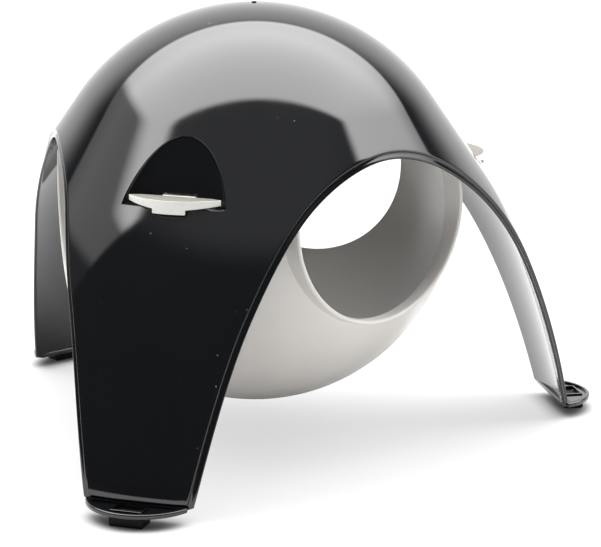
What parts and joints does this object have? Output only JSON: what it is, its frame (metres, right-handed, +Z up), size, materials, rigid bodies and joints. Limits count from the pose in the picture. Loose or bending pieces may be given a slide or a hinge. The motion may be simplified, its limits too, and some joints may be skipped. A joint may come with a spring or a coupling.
{
  "type": "hooded litter box for small pets",
  "caption": "Round litter bowl with wide collared entries, hung by flip-up latches inside a glossy domed hood that stands on splayed legs with foot pads.",
  "frame": {"origin": "middle of the footprint's bounding box, on the surface the feet stand on", "axes": "+Z up; one entry faces -Y, the single rear leg is at +Y, the two front legs are at -X and +X"},
  "size_m": [0.3438, 0.3062, 0.2365],
  "materials": {
    "hood_plastic": "glossy black moulded plastic",
    "bowl_plastic": "satin warm grey moulded plastic",
    "latch_plastic": "satin white moulded plastic",
    "pad_rubber": "matte dark rubber",
    "pin_steel": "bright drawn steel rod"
  },
  "bodies": {
    "hood": {"hood_shell": "hood_plastic", "latch_pin_right": "pin_steel", "latch_pin_left": "pin_steel", "latch_pin_rear": "pin_steel", "foot_pad_right": "pad_rubber", "foot_pad_left": "pad_rubber", "foot_pad_rear": "pad_rubber"},
    "bowl": {"litter_bowl": "bowl_plastic"},
    "latch_right": {"latch_right": "latch_plastic"},
    "latch_left": {"latch_left": "latch_plastic"},
    "latch_rear": {"latch_rear": "latch_plastic"}
  },
  "joints": [
    {"name": "bowl_lift", "type": "slide", "parent": "hood", "child": "bowl", "axis": [0, 0, 1], "range_m": [0, 0.002]},
    {"name": "latch_right_flip", "type": "hinge", "parent": "hood", "child": "latch_right", "pos_m": [0.09648, -0.09665, 0.1496], "axis": [-0.5, -0.866, 0], "range_deg": [0, 43]},
    {"name": "latch_left_flip", "type": "hinge", "parent": "hood", "child": "latch_left", "pos_m": [-0.09648, -0.09665, 0.1496], "axis": [-0.5, 0.866, 0], "range_deg": [0, 43]},
    {"name": "latch_rear_flip", "type": "hinge", "parent": "hood", "child": "latch_rear", "pos_m": [0, 0.07045, 0.1496], "axis": [1, 0, 0], "range_deg": [0, 43]}
  ]
}
